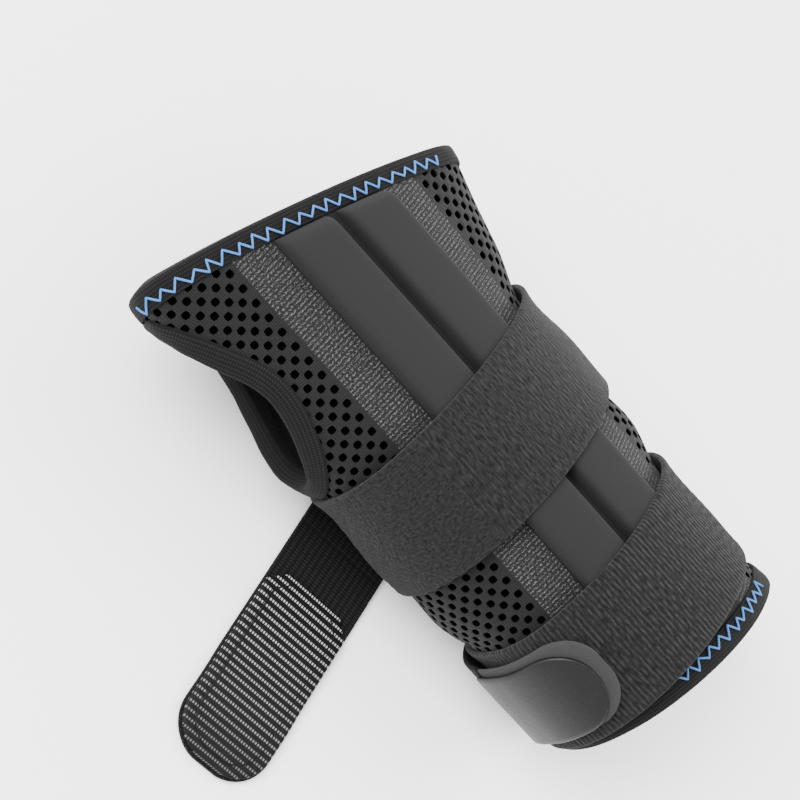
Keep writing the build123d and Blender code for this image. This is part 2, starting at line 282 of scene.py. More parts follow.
def patch(name, place, around, front, back, valid=None):
    """Cloth on the tube between two distances out of it, on a grid of flat measures."""
    if np.ndim(place) == 1:
        place, around = np.meshgrid(place, around, indexing="ij")
    if valid is None:
        valid = np.ones((place.shape[0] - 1, place.shape[1] - 1), dtype=bool)
    points = np.concatenate([
        on_tube(place, around, front).reshape(-1, 3), on_tube(place, around, back).reshape(-1, 3)
    ])
    flat = np.stack([around, place], axis=-1).reshape(-1, 2)
    return new_piece(name, points, patch_faces(valid), np.concatenate([flat, flat]))


def carried(name, sections, flat, closed_path=False):
    """One closed cross-section carried along a path: sections is path by section by 3."""
    count, size = sections.shape[:2]
    faces = []
    for i in range(count if closed_path else count - 1):
        for j in range(size):
            a, b = i * size + j, i * size + (j + 1) % size
            k = ((i + 1) % count) * size
            faces.append((a, b, k + (j + 1) % size, k + j))
    if not closed_path:
        faces.append(tuple(reversed(range(size))))
        faces.append(tuple((count - 1) * size + j for j in range(size)))
    piece = new_piece(name, sections, faces, flat)
    face_out(piece)
    return piece


def pick(piece):
    """Selects one piece alone, for the operators that work on the selection."""
    bpy.ops.object.select_all(action="DESELECT")
    piece.select_set(True)
    bpy.context.view_layer.objects.active = piece


def face_out(piece):
    """Closed meshes get their faces pointing outwards."""
    pick(piece)
    bpy.ops.object.mode_set(mode="EDIT")
    bpy.ops.mesh.select_all(action="SELECT")
    bpy.ops.mesh.normals_make_consistent(inside=False)
    bpy.ops.object.mode_set(mode="OBJECT")
    piece.select_set(False)


def run_along(path):
    """The distance along a path at each of its points."""
    return np.concatenate([[0], np.cumsum(np.linalg.norm(np.diff(path, axis=0), axis=1))])


def thread(name, path, radius, sides=6, closed=False):
    """A round thread through points in metres."""
    path = np.asarray(path, float)
    ahead = np.roll(path, -1, axis=0) - np.roll(path, 1, axis=0)
    if not closed:
        ahead[0], ahead[-1] = path[1] - path[0], path[-1] - path[-2]
    ahead /= np.linalg.norm(ahead, axis=1)[:, None]
    up = np.array([0.0, 0.0, 1.0]) + 0.001 * ahead
    across = np.cross(ahead, up)
    across /= np.linalg.norm(across, axis=1)[:, None]
    top = np.cross(across, ahead)
    turn = np.linspace(0, 2 * np.pi, sides, endpoint=False)
    ring = (across[:, None] * np.cos(turn)[None, :, None]
            + top[:, None] * np.sin(turn)[None, :, None])
    sections = path[:, None] + ring * radius * MM
    run = run_along(path) / MM
    flat = np.stack(np.broadcast_arrays(turn[None, :] * radius, run[:, None]), axis=-1)
    return carried(name, sections, flat, closed_path=closed)


print("helpers ready")

# %% [markdown]
# ## Finishes
# All finishes are procedural. The same small set of nodes serves each cloth:
# a dark and a light tone mixed by a pattern on the flat measures, and a bump from that pattern.

# %% Materials
def base_nodes(name, rough, sheen=0.0, specular=0.12):
    mat = bpy.data.materials.new(name)
    mat.use_nodes = True
    tree = mat.node_tree
    shader = tree.nodes["Principled BSDF"]
    shader.inputs["Roughness"].default_value = rough
    shader.inputs["Specular IOR Level"].default_value = specular
    shader.inputs["Sheen Weight"].default_value = sheen
    shader.inputs["Sheen Roughness"].default_value = 0.6
    flat = tree.nodes.new("ShaderNodeUVMap")
    flat.uv_map = "flat"
    return mat, tree, shader, flat.outputs["UV"]


def math_node(tree, kind, a, b=None, c=None, limit=False):
    node = tree.nodes.new("ShaderNodeMath")
    node.operation = kind
    node.use_clamp = limit
    for socket, value in zip(node.inputs, (a, b, c)):
        if value is None:
            continue
        if isinstance(value, (int, float)):
            socket.default_value = value
        else:
            tree.links.new(value, socket)
    return node.outputs[0]


def noise_node(tree, where, scale, detail=2.0):
    node = tree.nodes.new("ShaderNodeTexNoise")
    node.inputs["Scale"].default_value = scale
    node.inputs["Detail"].default_value = detail
    tree.links.new(where, node.inputs["Vector"])
    return node.outputs[0]


def stretched(tree, where, sx, sy):
    node = tree.nodes.new("ShaderNodeMapping")
    node.inputs["Scale"].default_value = (sx, sy, 1)
    tree.links.new(where, node.inputs["Vector"])
    return node.outputs[0]


def measure(tree, where, axis):
    """One of the two flat measures by itself: 0 is round the tube, 1 is along the arm."""
    split = tree.nodes.new("ShaderNodeSeparateXYZ")
    tree.links.new(where, split.inputs[0])
    return split.outputs[axis]


def ripple(tree, where, per_cm, axis):
    """0 to 1 and back, so many times in a centimetre, across u or v."""
    phase = math_node(tree, "MULTIPLY", measure(tree, where, axis), 2 * math.pi * per_cm)
    return math_node(tree, "MULTIPLY_ADD", math_node(tree, "SINE", phase), 0.5, 0.5)


def tones(tree, shader, factor, dark, light):
    mix = tree.nodes.new("ShaderNodeMix")
    mix.data_type = "RGBA"
    mix.inputs["A"].default_value = (*dark, 1)
    mix.inputs["B"].default_value = (*light, 1)
    tree.links.new(factor, mix.inputs["Factor"])
    tree.links.new(mix.outputs["Result"], shader.inputs["Base Color"])


def bumped(tree, shader, height, strength, distance):
    bump = tree.nodes.new("ShaderNodeBump")
    bump.inputs["Strength"].default_value = strength
    bump.inputs["Distance"].default_value = distance * MM
    tree.links.new(height, bump.inputs["Height"])
    tree.links.new(bump.outputs["Normal"], shader.inputs["Normal"])


def grey(value):
    return (value, value, value * 1.02)


def knit(name, dark, light, along, across, rough=0.9, sheen=0.25, strength=0.6, depth=0.25,
         broken=0.5):
    """Rows of stitches: ripples both ways, broken up by a fine noise."""
    mat, tree, shader, where = base_nodes(name, rough, sheen)
    rows = ripple(tree, where, along, 1) if along else None
    ribs = ripple(tree, where, across, 0) if across else None
    if rows and ribs:
        weave = math_node(tree, "MULTIPLY", rows, ribs)
    else:
        weave = rows or ribs
    fuzz = noise_node(tree, where, 38, 3)
    blend_in = math_node(tree, "MULTIPLY", weave, math_node(tree, "MULTIPLY", fuzz, 2 * broken))
    rest = math_node(tree, "MULTIPLY", weave, 1 - broken)
    pattern = math_node(tree, "ADD", blend_in, rest, limit=True)
    tones(tree, shader, pattern, grey(dark), grey(light))
    bumped(tree, shader, math_node(tree, "ADD", pattern, math_node(tree, "MULTIPLY", fuzz, 0.5)),
           strength, depth)
    return mat


def spacer_finish():
    """Near-black knit, with pale woven flecks in the close-knit strips beside the pockets."""
    mat, tree, shader, where = base_nodes("spacer mesh", 0.8, 0.04)
    aside = math_node(tree, "ABSOLUTE", measure(tree, where, 0))
    strip = math_node(tree, "MULTIPLY", math_node(tree, "LESS_THAN", aside, 3.0),
                      math_node(tree, "GREATER_THAN", aside, 1.8))
    fleck = noise_node(tree, stretched(tree, where, 14, 30), 1.0, 1)
    fleck = math_node(tree, "MULTIPLY", math_node(tree, "SUBTRACT", fleck, 0.47), 9, limit=True)
    rows = ripple(tree, where, 7.7, 1)
    flecks = math_node(tree, "MULTIPLY", fleck, math_node(tree, "MULTIPLY", rows, strip))
    grain = noise_node(tree, where, 45, 2)
    yarn = math_node(tree, "MULTIPLY", ripple(tree, where, 15.4, 0), ripple(tree, where, 15.4, 1))
    light = math_node(tree, "ADD", math_node(tree, "MULTIPLY", flecks, 0.8),
                      math_node(tree, "MULTIPLY", math_node(tree, "MULTIPLY", grain, yarn), 0.16),
                      limit=True)
    tones(tree, shader, light, grey(0.002), grey(0.075))
    height = math_node(tree, "ADD", yarn, math_node(tree, "MULTIPLY", fleck, 0.6))
    bumped(tree, shader, height, 0.5, 0.2)
    return mat


def grained(name, dark, light, scale, rough, sheen=0.0, strength=0.3, depth=0.15, cells=False,
            specular=0.12):
    """An even grain: felt, fine cloth or leather, by its scale and roughness."""
    mat, tree, shader, where = base_nodes(name, rough, sheen, specular)
    grain = noise_node(tree, where, scale, 4)
    if cells:
        node = tree.nodes.new("ShaderNodeTexVoronoi")
        node.inputs["Scale"].default_value = scale
        tree.links.new(where, node.inputs["Vector"])
        grain = math_node(tree, "ADD", math_node(tree, "MULTIPLY", grain, 0.5),
                          math_node(tree, "MULTIPLY", node.outputs["Distance"], 0.6))
    tones(tree, shader, grain, grey(dark), grey(light))
    bumped(tree, shader, grain, strength, depth)
    return mat


def hook_finish():
    """Rows of small hooks: pale points of painted highlight on black, fading towards the strap's
    tip.
    """
    mat, tree, shader, where = base_nodes("hook tape", 0.6)
    rows = math_node(tree, "SUBTRACT", ripple(tree, where, 4.5, 1), 0.62)
    rows = math_node(tree, "MULTIPLY", rows, 4, limit=True)
    dots = math_node(tree, "SUBTRACT", ripple(tree, where, 11, 0), 0.1)
    dots = math_node(tree, "MULTIPLY", dots, 2, limit=True)
    # the painted highlights fade towards the strap's tip
    highlight_fade = math_node(tree, "MULTIPLY_ADD", measure(tree, where, 1), -0.16, 1.55)
    highlight_fade = math_node(tree, "MINIMUM", math_node(tree, "MAXIMUM", highlight_fade, 0.22), 1.0)
    dots = math_node(tree, "MULTIPLY", rows, dots)
    points = math_node(tree, "MULTIPLY", dots, highlight_fade)
    # pale points: painted highlights of the plastic hooks
    tones(tree, shader, points, grey(0.0015), grey(0.34))
    bumped(tree, shader, dots, 0.8, 0.4)
    return mat


def fibrous(name, dark, light, across, along, strength=0.7, depth=0.3, ribs=0.0):
    """Short fibres lying along the arm, as on loop cloth."""
    mat, tree, shader, where = base_nodes(name, 0.95, 0.04)
    fibres = noise_node(tree, stretched(tree, where, across, along), 1.0, 3)
    fuzz = noise_node(tree, where, 34, 2)
    pattern = math_node(tree, "SUBTRACT", fibres, 0.34)
    pattern = math_node(tree, "MULTIPLY", pattern, 2.6, limit=True)
    pattern = math_node(tree, "MULTIPLY", pattern, math_node(tree, "ADD", fuzz, 0.35), limit=True)
    if ribs:
        ridge = math_node(tree, "MULTIPLY_ADD", ripple(tree, where, 7.7, 0), ribs, 1 - ribs)
        pattern = math_node(tree, "MULTIPLY", pattern, ridge)
    tones(tree, shader, pattern, grey(dark), grey(light))
    bumped(tree, shader, pattern, strength, depth)
    return mat


MATS = {
    "spacer": spacer_finish(),
    # painted shade: a near-black finish for the walls and floors of the holes
    "pit_shade": grained("painted shade in the holes", 0.0003, 0.0006, 30, 1.0, specular=0.02),
    "lining": grained("brushed lining", 0.002, 0.006, 60, 1.0, sheen=0.02),
    "tape": knit("binding tape", 0.0015, 0.009, 9, 14, sheen=0.01, strength=0.5),
    "pocket": grained("pocket cloth", 0.0065, 0.0125, 90, 0.95, sheen=0.02, strength=0.25),
    "pile": fibrous("brushed loop pile", 0.001, 0.012, 10, 12, strength=0.9, depth=0.5),
    "ribbed": fibrous("ribbed loop cloth", 0.0008, 0.015, 15, 4, strength=0.9, depth=0.4, ribs=0.3),
    "corded": fibrous("corded loop cloth", 0.0008, 0.022, 15, 4, strength=0.9, depth=0.4, ribs=0.8),
    "webbing": knit("elastic webbing", 0.001, 0.010, 10, 5, sheen=0.01, strength=0.8, depth=0.3,
                    broken=0.4),
    "hook": hook_finish(),
    "leather": grained("leatherette", 0.0015, 0.0045, 14, 0.42, strength=0.3, depth=0.2, cells=True,
                       specular=0.22),
    "felt": grained("felt edge", 0.005, 0.045, 50, 1.0, sheen=0.02, strength=0.8, depth=0.4),
    "black": grained("black thread", 0.001, 0.005, 20, 0.5),
}


def thread_finish(name, dark, light):
    mat, tree, shader, where = base_nodes(name, 0.5, 0.03)
    tones(tree, shader, ripple(tree, where, 22, 1), dark, light)
    return mat


MATS["blue"] = thread_finish("blue thread", (0.022, 0.080, 0.235), (0.060, 0.155, 0.36))


def aluminium():
    mat = bpy.data.materials.new("brushed aluminium")
    mat.use_nodes = True
    tree = mat.node_tree
    shader = tree.nodes["Principled BSDF"]
    shader.inputs["Metallic"].default_value = 1.0
    where = tree.nodes.new("ShaderNodeTexCoord")
    streaks = noise_node(tree, stretched(tree, where.outputs["Object"], 900, 12), 1.0, 3)
    tones(tree, shader, streaks, (0.55, 0.56, 0.58), (0.80, 0.81, 0.83))
    rough = math_node(tree, "MULTIPLY_ADD", streaks, 0.25, 0.22)
    tree.links.new(rough, shader.inputs["Roughness"])
    return mat


MATS["aluminium"] = aluminium()
for node_name in ("stay_radial", "stay_ulnar", "stay_palmar"):
    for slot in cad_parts[node_name].material_slots:
        slot.material = MATS["aluminium"]
print("finishes:", len(MATS))


def finish_piece(piece, finish, body, replaced=()):
    """Gives a piece its finish, hides the CAD parts it replaces, and parents it to its body, or
    only bakes its transform when given a joint.
    """
    piece.data.materials.append(MATS[finish])
    if isinstance(body, str):
        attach(piece, body)
    else:
        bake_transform(piece)
    if replaced:
        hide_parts(*replaced)
    print(f"{piece.name}: {len(piece.data.polygons)} faces")

# %% [markdown]
# ## The spacer mesh
# A bump map would leave the silhouette and the edges of the holes flat, and a boolean for each
# hole is slow, so the cloth is laid out in square cells and every second one has a pit sunk in
# it. The pit walls and floors take a near-black second finish, which is painted shade in the
# holes. The strips beside the pockets are knitted close, and the cloth under the bands is
# hidden, so both stay plain.

# %% Spacer mesh with its holes
CELL = 2.6
HALF_CELLS_ROUND = CELL / 2 * np.arange(-122, 91)
HALF_CELLS_ALONG = CELL / 2 * np.arange(-84, 79)
TURNS = np.radians([-135, -90, -45, 0, 45, 90, 135, 180])
SQUARISH = np.array([1.1, 0.97, 1.1, 0.97, 1.1, 0.97, 1.1, 0.97])


def perforated(name, back):
    place, around = np.meshgrid(HALF_CELLS_ALONG, HALF_CELLS_ROUND, indexing="ij")
    rows, cols = (place.shape[0] - 1) // 2, (place.shape[1] - 1) // 2
    mid_place, mid_around = place[1::2, 1::2][:rows, :cols], around[1::2, 1::2][:rows, :cols]
    valid = fabric(mid_place, mid_around, 2.4)
    checker = np.add.outer(np.arange(rows), np.arange(cols)) % 2 == 0
    open_knit = (np.abs(mid_around) > 31) & (
        (mid_place > 16) | ((mid_place > -48) & (mid_place < -17)) | (mid_place < -82))
    pits = checker & open_knit & valid
    points = [on_tube(place, around, 0.0).reshape(-1, 3),
              on_tube(place[::2, ::2], around[::2, ::2], back).reshape(-1, 3)]
    flat = [np.stack([around, place], axis=-1).reshape(-1, 2),
            np.stack([around[::2, ::2], place[::2, ::2]], axis=-1).reshape(-1, 2)]
    wide, back_wide, back_first = place.shape[1], cols + 1, place.size
    pit_place, pit_around = mid_place[pits], mid_around[pits]
    for radius, out in ((1.17, -0.15), (0.98, -1.7)):
        ring_place = pit_place[:, None] + radius * SQUARISH * np.sin(TURNS)
        ring_around = pit_around[:, None] + radius * SQUARISH * np.cos(TURNS)
        points.append(on_tube(ring_place, ring_around, out).reshape(-1, 3))
        flat.append(np.stack([ring_around, ring_place], axis=-1).reshape(-1, 2))
    ring_first = back_first + (rows + 1) * back_wide
    floor_first = ring_first + 8 * len(pit_place)
    faces, painted_shade_faces, pit = [], [], 0
    for r, c in zip(*np.nonzero(valid)):
        i, j = 2 * r, 2 * c
        edge = [(i, j), (i, j + 1), (i, j + 2), (i + 1, j + 2), (i + 2, j + 2), (i + 2, j + 1),
                (i + 2, j), (i + 1, j)]
        edge = [p * wide + q for p, q in edge]
        under = [back_first + (r + p) * back_wide + c + q
                 for p, q in ((0, 0), (0, 1), (1, 1), (1, 0))]
        if pits[r, c]:
            ring, floor = ring_first + 8 * pit, floor_first + 8 * pit
            pit += 1
            for k in range(8):
                n = (k + 1) % 8
                faces.append((edge[k], edge[n], ring + n, ring + k))
                faces.append((ring + k, ring + n, floor + n, floor + k))
                painted_shade_faces.append(len(faces) - 1)
            faces.append(tuple(floor + k for k in range(8)))
            painted_shade_faces.append(len(faces) - 1)
        else:
            centre = (i + 1) * wide + j + 1
            for k in range(0, 8, 2):
                faces.append((edge[k], edge[k + 1], centre, edge[k - 1]))
        faces.append(tuple(reversed(under)))
        for side, (p, q) in enumerate(((-1, 0), (0, 1), (1, 0), (0, -1))):
            near_r, near_c = r + p, c + q
            if 0 <= near_r < rows and 0 <= near_c < cols and valid[near_r, near_c]:
                continue
            a, b, d = edge[2 * side], edge[2 * side + 1], edge[(2 * side + 2) % 8]
            faces.append((d, b, a, under[side], under[(side + 1) % 4]))
    piece = new_piece(name, np.concatenate(points), faces, np.concatenate(flat))
    # the pit walls and floors get the second finish, near-black painted shade
    for face in painted_shade_faces:
        piece.data.polygons[face].material_index = 1
    tidy_loose(piece)
    return piece, int(pits.sum())


def tidy_loose(piece):
    """Grid points that no face uses go, and hard edges stay hard."""
    pick(piece)
    bpy.ops.object.mode_set(mode="EDIT")
    bpy.ops.mesh.select_all(action="SELECT")
    bpy.ops.mesh.delete_loose()
    bpy.ops.object.mode_set(mode="OBJECT")
    bpy.ops.object.shade_smooth_by_angle(angle=math.radians(50))
    piece.select_set(False)


spacer_tube, holes = perforated("spacer_tube", -3.0)
finish_piece(spacer_tube, "spacer", "brace", ["mesh_body"])
# second finish: near-black painted shade on the pit walls and floors
spacer_tube.data.materials.append(MATS["pit_shade"])
print("holes:", holes)

# %% [markdown]
# The lining is a second, plain layer just inside. It is a little fuzzy, so a fine grain and
# some sheen are enough for it.

# %% Brushed lining
LINING_ROUND = np.arange(-158.6, 117, 2.6)
LINING_ALONG = np.arange(-109.2, 101, 2.6)
middles = np.meshgrid((LINING_ALONG[1:] + LINING_ALONG[:-1]) / 2,
                      (LINING_ROUND[1:] + LINING_ROUND[:-1]) / 2, indexing="ij")
lining = patch("lining_tube", LINING_ALONG, LINING_ROUND, -3.05, -4.0, fabric(*middles, 2.4))
tidy_loose(lining)
finish_piece(lining, "lining", "brace", ["inner_lining"])

# %% [markdown]
# ## Bindings
# Tape is folded over each raw edge. One U-shaped cross-section follows the edge, with its
# distances measured inwards from the cut, so the same profile serves all five edges.

# %% Folded tape
TAPE = np.array([
    (1.0, 0.04), (1.0, 0.62), (0.95, 0.86), (0.72, 0.96), (0.3, 0.98), (0.09, 0.72), (0.02, 0.1),
    (0.0, -1.0), (0.0, -3.0), (0.02, -4.1), (0.09, -4.75), (0.3, -4.95), (0.72, -4.94),
    (0.95, -4.84), (1.0, -4.6), (1.0, -4.04), (0.3, -4.03), (0.16, -3.6), (0.16, -0.4), (0.3, 0.02),
])


def binding(name, place, around, inward, widths, node, closed=False):
    """Tape along an edge given in flat measures, with the way in from the edge."""
    widths = np.broadcast_to(widths, np.shape(place))
    g = TAPE[None, :, 0] * widths[:, None]
    puff = 1 + 0.10 * np.sin(np.arange(len(place)) * 0.9)[:, None] * (TAPE[None, :, 1] > 0.5)
    p = place[:, None] + g * inward[:, 0:1]
    a = around[:, None] + g * inward[:, 1:2]
    sections = on_tube(p, a, TAPE[None, :, 1] * puff)
    run = np.concatenate([[0], np.cumsum(np.hypot(np.diff(place), np.diff(around)))])
    flat = np.stack(np.broadcast_arrays(run[:, None], g + TAPE[None, :, 1]), axis=-1)
    piece = carried(name, sections, flat, closed_path=closed)
    length = float(run[-1])
    if closed:
        length += float(np.hypot(place[0] - place[-1], around[0] - around[-1]))
    finish_piece(piece, "tape", "brace", [node])


def end_edge(finger):
    place_here = 84.0 if finger else -97.0
    first = float(np.interp(place_here, *SLIT_THUMB)) + 0.4
    last = float(np.interp(place_here, *SLIT_FAR)) - 0.4
    around = np.arange(first, last, 2.0)
    return cut_place(around, finger), around


hand_place, hand_around = end_edge(True)
elbow_place, elbow_around = end_edge(False)
binding("hand_edge_tape", hand_place, hand_around,
        np.tile([-1.0, 0.0], (len(hand_place), 1)), 6.5, "distal_binding")
binding("elbow_edge_tape", elbow_place, elbow_around,
        np.tile([1.0, 0.0], (len(elbow_place), 1)), 7.5, "proximal_binding")

ring = RING
ahead = np.roll(ring, -1, axis=0) - np.roll(ring, 1, axis=0)
ahead /= np.linalg.norm(ahead, axis=1)[:, None]
outwards = np.stack([ahead[:, 1], -ahead[:, 0]], axis=1)
centre = ring.mean(axis=0)
if ((ring - centre) * outwards).sum() < 0:
    outwards = -outwards
room = (cut_place(ring[:, 1], True) - ring[:, 0] - 6.3) / np.maximum(outwards[:, 0], 0.02)
thumb_widths = np.where(outwards[:, 0] > 0.02, np.clip(room, 2.0, 7.0), 7.0)
binding("thumb_hole_tape", ring[:, 0], ring[:, 1], outwards, thumb_widths, "thumb_hole_binding",
        closed=True)

for edge_name, table, way, node in (
    ("slit_tape_thumb_side", SLIT_THUMB, 1.0, "opening_binding_radial"),
    ("slit_tape_far_side", SLIT_FAR, -1.0, "opening_binding_ulnar"),
):
    elbow_end = float(cut_place(np.interp(-97.0, *table), False)) + 7.2
    hand_end = float(cut_place(np.interp(80.0, *table), True)) - 6.2
    place = np.arange(elbow_end, hand_end, 2.0)
    binding(edge_name, place, np.interp(place, *table), np.tile([0.0, way], (len(place), 1)),
            6.0, node)

# %% [markdown]
# ## Zigzag stitching
# A real thread stands on the tape and is a little uneven, so each corner is moved by a small
# seeded amount. The thread is a swept round, not a line in a texture.

# %% Blue zigzags
rng = np.random.default_rng(7)


def zigzag(name, first, last, finger, insets, node):
    corners = []
    for k, around in enumerate(np.arange(first, last, 2.25)):
        inset = insets[k % 2] + rng.uniform(-0.45, 0.45)
        corners.append((around + rng.uniform(-0.5, 0.5), inset))
    path = []
    for (a0, i0), (a1, i1) in zip(corners, corners[1:]):
        for t in (0.0, 0.12, 0.5, 0.88):
            lift = 0.1 * math.sin(math.pi * t)
            path.append((a0 + (a1 - a0) * t, i0 + (i1 - i0) * t, 1.30 + lift))
    around, inset, out = np.array(path).T
    place = cut_place(around, finger) + (-inset if finger else inset)
    piece = thread(name, on_tube(place, around, out), 0.35)
    finish_piece(piece, "blue", "brace", [node])


zigzag("hand_zigzag", -57.0, 43.0, True, (2.9, 5.9), "distal_zigzag")
zigzag("elbow_zigzag", -16.0, 33.0, False, (7.0, 3.8), "proximal_zigzag")

# %% [markdown]
# ## Stay pockets
# Each pocket is a strip of close cloth sewn down along both sides over an aluminium stay, so it
# has a flat top, soft shoulders and steep sides. It is open at the elbow end and sewn shut at
# the hand. The underside leaves room for the stay.

# %% Pockets on the back
POCKET_CREASE = math.radians(60)
POCKET_MOUTH, POCKET_MIDDLE = -82.0, 9.63
HAT = np.array([
    (-8.0, 0.05), (-8.0, 1.4), (-7.95, 2.8), (-7.75, 3.9), (-7.3, 4.6), (-6.5, 4.95), (-5.0, 5.08),
    (-2.5, 5.14), (0.0, 5.16), (2.5, 5.14), (5.0, 5.08), (6.5, 4.95), (7.3, 4.6), (7.75, 3.9),
    (7.95, 2.8), (8.0, 1.4), (8.0, 0.05),
    (6.9, 0.05), (6.9, 2.8), (6.8, 3.9), (6.3, 4.25), (3.0, 4.4), (0.0, 4.45), (-3.0, 4.4),
    (-6.3, 4.25), (-6.8, 3.9), (-6.9, 2.8), (-6.9, 0.05),
])


def back_pocket(name, side, node):
    around = side * POCKET_MIDDLE + HAT[:, 0]
    end = cut_place(around, True) - 6.9
    steps = np.concatenate([np.linspace(0, 0.975, 66), [0.985, 0.992, 0.997, 1.0]])
    fall = np.concatenate([np.ones(66), [0.93, 0.78, 0.52, 0.16]])
    place = POCKET_MOUTH + steps[:, None] * (end[None, :] - POCKET_MOUTH)
    soft = 1 + 0.016 * np.sin(place * 0.21 + side) * (HAT[None, :, 1] > 4.5)
    sections = on_tube(place, np.broadcast_to(around, place.shape),
                       HAT[None, :, 1] * fall[:, None] * soft)
    round_hat = around + HAT[:, 1] * np.sign(HAT[:, 0])
    flat = np.stack(np.broadcast_arrays(round_hat[None, :], place), axis=-1)
    piece = carried(name, sections, flat)
    pick(piece)
    bpy.ops.object.shade_smooth_by_angle(angle=POCKET_CREASE)
    finish_piece(piece, "pocket", "brace", [node])


back_pocket("pocket_thumb_side", -1, "stay_pocket_radial")
back_pocket("pocket_far_side", 1, "stay_pocket_ulnar")

# %% [markdown]
# The third pocket lies under the palm, between the straps and the tube.

# %% Palm pocket
TRAY = np.array([
    (-10.0, 9.0), (-10.0, 2.6), (-9.7, 1.9), (-9.0, 1.5), (-8.0, 1.42), (0.0, 1.42), (8.0, 1.42),
    (9.0, 1.5), (9.7, 1.9), (10.0, 2.6), (10.0, 9.0),
    (8.7, 9.0), (8.7, 2.5), (8.5, 2.15), (0.0, 2.15), (-8.5, 2.15), (-8.7, 2.5), (-8.7, 9.0),
])


def palm_height(x, place):
    half, rise, drop, shift = row_at(place)
    return TOP - rise - drop * (1 - abs((x - shift) / half) ** SQUARENESS) ** (1 / SQUARENESS)


def palm_pocket():
    sections = []
    for place in np.concatenate([np.linspace(-80, 13, 32), [14.2, 15.2, 16.0]]):
        shut = np.clip((place - 13) / 3, 0, 1) ** 2
        row = []
        for x, z in TRAY:
            top = palm_height(x - 3, place)
            row.append((x - 3, place, top if z > 8 else z + (top - 0.3 - z) * shut))
        sections.append(row)
    sections = np.array(sections) * MM
    flat = np.stack([sections[..., 0] + sections[..., 2], sections[..., 1]], axis=-1) / MM
    piece = carried("pocket_palm", sections, flat)
    pick(piece)
    bpy.ops.object.shade_smooth_by_angle(angle=POCKET_CREASE)
    finish_piece(piece, "pocket", "brace", ["stay_pocket_palmar"])


palm_pocket()

# %% [markdown]
# ## Loop bands
# Two wide bands of ribbed loop cloth hold the pockets down. They stretch from the pockets to
# the sides of the tube, and stop short of the palm opening. Their ribs are in the mesh.

# %% Loop bands
def stand_off(place, around):
    """How far the band's face is out of the tube: an oval over the pockets, plain below."""
    spot = look_up(place, around)
    rows = np.array([row_at(p) for p in place[:, 0]])
    half, rise, shift = rows[:, 0:1] + 2, rows[:, 1:2] + 7, rows[:, 3:4]
    x, z = spot[..., 0] - shift, spot[..., 1] - (TOP - rows[:, 1:2])
    nx, nz = spot[..., 2], spot[..., 3]
    a = (nx / half) ** 2 + (nz / rise) ** 2
    b = 2 * (x * nx / half ** 2 + z * nz / rise ** 2)
    c = (x / half) ** 2 + (z / rise) ** 2 - 1
    out = (-b + np.sqrt(np.maximum(b * b - 4 * a * c, 0))) / (2 * a)
    return np.where(z > 0, out, 2.0)


RIB_PITCH = 1.3
RIB_PHASES = np.random.default_rng(3).uniform(0, 6.28, 97)


def loop_band(name, middle, rib_depth, pile_below, finish, node):
    across_band = [[-19, -18.85, -18.4], np.linspace(-17.6, 17.6, 40), [18.4, 18.85, 19]]
    along = middle + np.concatenate(across_band)
    edge = np.concatenate([[0.9, 0.4, 0.1], np.zeros(40), [0.1, 0.4, 0.9]])
    steps = np.linspace(-130, -70, 241)
    thumb_end = np.array([np.interp(20, -look_up(p, steps)[..., 0], steps) for p in along])
    steps = np.linspace(60, 125, 261)
    far_end = np.array([np.interp(-34.5, -look_up(p, steps)[..., 0], steps) for p in along])
    q = np.linspace(0, 1, 470)
    around = thumb_end[:, None] + (far_end - thumb_end)[:, None] * q
    place = np.broadcast_to(along[:, None], around.shape).copy()
    front = stand_off(place, around)
    ribs = np.sin(2 * np.pi * around / RIB_PITCH)
    breaks = np.sin(place * 1.7 + around * 0.31) * np.sin(place * 0.63 - around * 0.9)
    fuzz = np.sin(around * 3.1 + place * 2.3) * np.sin(around * 1.9 - place * 3.7)
    pile = np.clip((pile_below - around) / 6, 0, 1)
    rib = np.floor(around / RIB_PITCH).astype(int) % len(RIB_PHASES)
    dash = 0.55 + 0.45 * np.sin(place * 1.9 + RIB_PHASES[rib])
    relief = rib_depth * ribs * dash * (1 - pile) + 0.12 * (fuzz + 0.6 * breaks) * pile
    piece = patch(name, place, around, front - edge[:, None] + relief * (edge[:, None] < 0.05),
                  front - 1.9 + 0.35 * edge[:, None])
    finish_piece(piece, finish, "brace", [node])
    piece.data.materials.append(MATS["pile"])
    for face in piece.data.polygons:
        if piece.data.uv_layers[0].data[face.loop_start].uv[0] * 10 < pile_below - 2:
            face.material_index = 1


loop_band("wrist_band", -0.5, 0.05, -24, "ribbed", "wrist_loop_band")
loop_band("forearm_band", -65.0, 0.13, -150, "corded", "forearm_loop_band")

# %% [markdown]
# ## Straps
# Webbing keeps its width and bends along one line, so a ribbon follows a path with one width at
# each step. The same ribbon makes the rounded tab and the hook pads.

# %% Ribbon
def ribbon(path, across, half_widths, thickness, name, outward=1.0, run_start=0.0):
    """Cloth of one thickness along a path in millimetres, with soft edges."""
    path, across = np.asarray(path, float), np.asarray(across, float)
    ahead = np.gradient(path, axis=0)
    ahead /= np.linalg.norm(ahead, axis=1)[:, None]
    normal = np.cross(ahead, across) * outward
    normal /= np.linalg.norm(normal, axis=1)[:, None]
    half_widths = np.broadcast_to(half_widths, len(path))
    spread = np.concatenate([[-1.0, -0.975], np.linspace(-0.88, 0.88, 9), [0.975, 1.0]])
    lift = np.concatenate([[0.22, 0.45], np.full(9, 0.5), [0.45, 0.22]])
    loop = [(w, t) for w, t in zip(spread, lift)]
    loop += [(w, -t) for w, t in reversed(list(zip(spread, lift)))]
    sections = np.stack([
        path + across * (w * half_widths)[:, None] + normal * (t * thickness) for w, t in loop
    ], axis=1) * MM
    run = run_start + run_along(path)
    sides = np.array([w for w, _ in loop])
    flat = np.stack(np.broadcast_arrays(sides[None, :] * half_widths[:, None], run[:, None]),
                    axis=-1)
    return carried(name, sections, flat), float(run[-1] - run_start)


